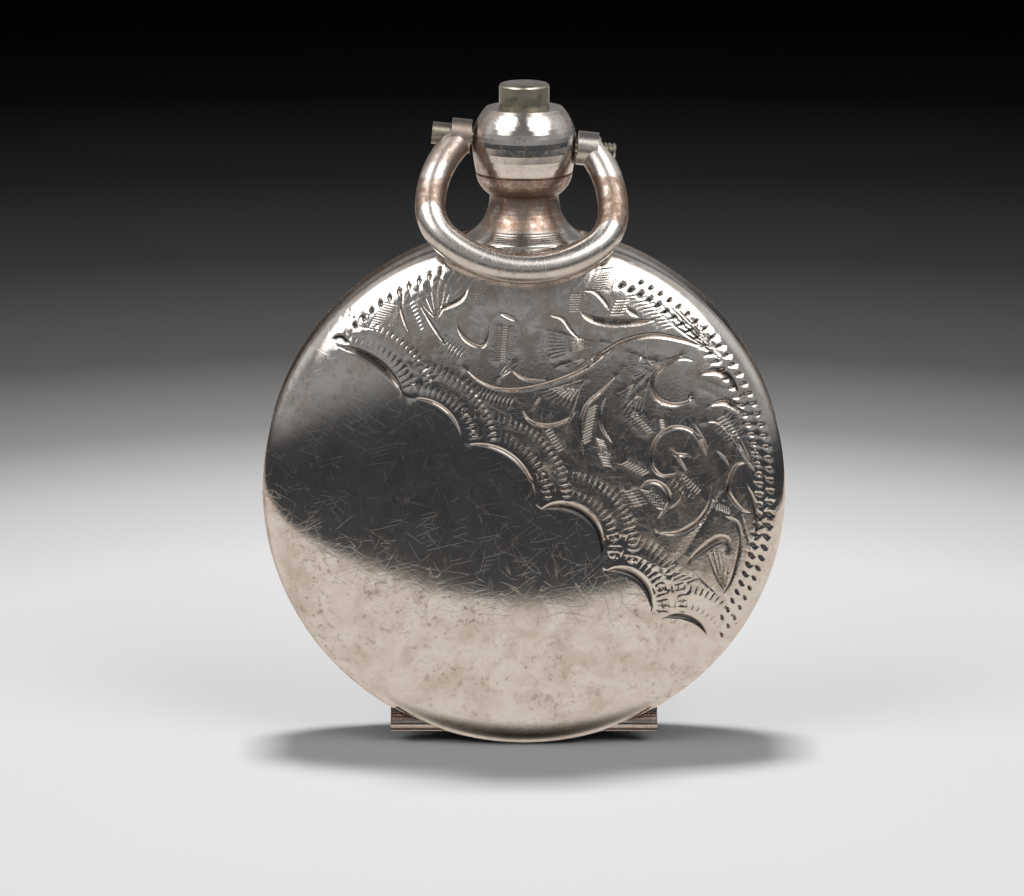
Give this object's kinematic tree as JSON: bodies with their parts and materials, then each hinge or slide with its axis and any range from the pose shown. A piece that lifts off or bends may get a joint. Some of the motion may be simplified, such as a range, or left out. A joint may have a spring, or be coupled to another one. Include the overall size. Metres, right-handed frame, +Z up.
{
  "type": "fob watch",
  "caption": "Key-wind hunter fob watch with domed hinged covers, ball pendant with push piece, swinging bow and a lever bar movement.",
  "frame": {"origin": "on the centre wheel's axis, halfway between the tops of the two domes", "axes": "+Z up through the pendant, +X to the right, engraved front cover facing -Y"},
  "size_m": [0.042, 0.0133, 0.0538],
  "materials": {
    "worn_silver": "worn tarnished silver, fine scratches",
    "nickel": "yellowish nickel, worn",
    "steel": "polished steel",
    "blued_steel": "heat-blued steel",
    "gilt_brass": "frosted gilt brass",
    "brass": "polished brass",
    "enamel": "fired white enamel",
    "glass": "clear glass",
    "ruby": "polished ruby"
  },
  "bodies": {
    "case": {"case_middle": "worn_silver", "bezel": "worn_silver", "pendant": "worn_silver", "bow_screw": "nickel", "push_spring": "steel", "front_hinge_pin": "steel", "back_hinge_pin": "steel", "cuvette_hinge_pin": "steel", "movement_screws": "steel", "lock_spring": "blued_steel", "fly_spring": "blued_steel", "case_spring_screws": "blued_steel", "click_spring": "blued_steel", "hairspring_stud": "blued_steel", "bridge_screws": "blued_steel", "main_plate": "gilt_brass", "barrel_bridge": "gilt_brass", "centre_bridge": "gilt_brass", "third_bridge": "gilt_brass", "fourth_bridge": "gilt_brass", "escape_cock": "gilt_brass", "pallet_cock": "gilt_brass", "balance_cock": "gilt_brass", "dial": "enamel", "crystal": "glass", "jewels": "ruby"},
    "front_cover": {"front_cover": "worn_silver"},
    "bow": {"bow": "worn_silver"},
    "back_cover": {"back_cover": "worn_silver"},
    "cuvette": {"cuvette": "worn_silver"},
    "push_piece": {"push_piece": "nickel"},
    "fourth_arbor": {"fourth_wheel": "brass", "fourth_pinion": "steel", "seconds_hand": "blued_steel"},
    "third_arbor": {"third_wheel": "brass", "third_pinion": "steel"},
    "centre_arbor": {"centre_wheel": "brass", "centre_arbor": "steel", "cannon_pinion": "steel", "minute_hand": "blued_steel"},
    "barrel": {"barrel": "brass", "barrel_cover": "brass", "mainspring": "blued_steel"},
    "minute_wheel": {"minute_wheel": "brass"},
    "hour_wheel": {"hour_wheel": "brass", "hour_hand": "blued_steel"},
    "escape_arbor": {"escape_wheel": "brass", "escape_pinion": "steel"},
    "winding_arbor": {"barrel_arbor": "steel", "ratchet_wheel": "steel"},
    "click": {"click": "steel"},
    "pallet_fork": {"pallet_fork": "brass", "pallet_stones": "ruby", "pallet_arbor": "steel"},
    "balance": {"balance_wheel": "brass", "balance_staff": "steel", "roller": "steel", "impulse_pin": "ruby", "hairspring": "blued_steel"},
    "regulator": {"regulator": "steel"}
  },
  "joints": [
    {"name": "front_cover_hinge", "type": "hinge", "parent": "case", "child": "front_cover", "pos_m": [0, -0.0019, -0.0193], "axis": [1, 0, 0], "range_deg": [0, 100], "deforming": ["fly_spring"]},
    {"name": "bow_swing", "type": "hinge", "parent": "case", "child": "bow", "pos_m": [0, 0, 0.028], "axis": [-0.9945, 0, 0.1045], "range_deg": [0, 285]},
    {"name": "back_cover_hinge", "type": "hinge", "parent": "case", "child": "back_cover", "pos_m": [0, 0.0019, -0.0193], "axis": [-1, 0, 0], "range_deg": [0, 100]},
    {"name": "cuvette_hinge", "type": "hinge", "parent": "case", "child": "cuvette", "pos_m": [0, 0.0023, -0.01805], "axis": [-1, 0, 0], "range_deg": [0, 75]},
    {"name": "push_slide", "type": "slide", "parent": "case", "child": "push_piece", "axis": [0, 0, -1], "range_m": [0, 0.0008], "deforming": ["push_spring", "lock_spring"]},
    {"name": "seconds_arbor", "type": "hinge", "parent": "case", "child": "fourth_arbor", "pos_m": [0, 0, -0.0086], "axis": [0, 1, 0], "continuous": true},
    {"name": "third_arbor", "type": "hinge", "parent": "case", "child": "third_arbor", "pos_m": [0.00338, 0, -0.00478], "axis": [0, 1, 0], "continuous": true},
    {"name": "centre_arbor", "type": "hinge", "parent": "case", "child": "centre_arbor", "pos_m": [0, 0, 0], "axis": [0, 1, 0], "continuous": true},
    {"name": "barrel_turn", "type": "hinge", "parent": "case", "child": "barrel", "pos_m": [-0.00405, 0, 0.00701], "axis": [0, 1, 0], "continuous": true},
    {"name": "minute_wheel_turn", "type": "hinge", "parent": "case", "child": "minute_wheel", "pos_m": [0.0026, 0, 0.0015], "axis": [0, 1, 0], "continuous": true},
    {"name": "hour_wheel_turn", "type": "hinge", "parent": "case", "child": "hour_wheel", "pos_m": [0, 0, 0], "axis": [0, 1, 0], "continuous": true},
    {"name": "escape_arbor", "type": "hinge", "parent": "case", "child": "escape_arbor", "pos_m": [-0.00372, 0, -0.0076], "axis": [0, 1, 0], "continuous": true},
    {"name": "winding_arbor", "type": "hinge", "parent": "case", "child": "winding_arbor", "pos_m": [-0.00405, 0, 0.00701], "axis": [0, -1, 0], "range_deg": [0, 1620], "deforming": ["mainspring"]},
    {"name": "click_pivot", "type": "hinge", "parent": "case", "child": "click", "pos_m": [-0.00882, 0, 0.00552], "axis": [0, -1, 0], "range_deg": [0, 9]},
    {"name": "pallet_fork_pivot", "type": "hinge", "parent": "case", "child": "pallet_fork", "pos_m": [-0.00602, 0, -0.00628], "axis": [0, 1, 0], "range_deg": [-5, 5]},
    {"name": "balance_swing", "type": "hinge", "parent": "case", "child": "balance", "pos_m": [-0.00888, 0, -0.00463], "axis": [0, 1, 0], "range_deg": [-270, 270], "deforming": ["hairspring"]},
    {"name": "regulator_turn", "type": "hinge", "parent": "case", "child": "regulator", "pos_m": [-0.00888, 0, -0.00463], "axis": [0, 1, 0], "range_deg": [-20, 20]}
  ],
  "couplings": [
    {"joint": "bow_swing", "follows": "front_cover_hinge", "ratio": 2.85},
    {"joint": "cuvette_hinge", "follows": "back_cover_hinge", "ratio": 0.75},
    {"joint": "third_arbor", "follows": "seconds_arbor", "ratio": -0.13333},
    {"joint": "centre_arbor", "follows": "seconds_arbor", "ratio": 0.016667},
    {"joint": "barrel_turn", "follows": "seconds_arbor", "ratio": -0.0020833},
    {"joint": "minute_wheel_turn", "follows": "seconds_arbor", "ratio": -0.0055556},
    {"joint": "hour_wheel_turn", "follows": "seconds_arbor", "ratio": 0.0013889},
    {"joint": "escape_arbor", "follows": "seconds_arbor", "ratio": -10}
  ]
}
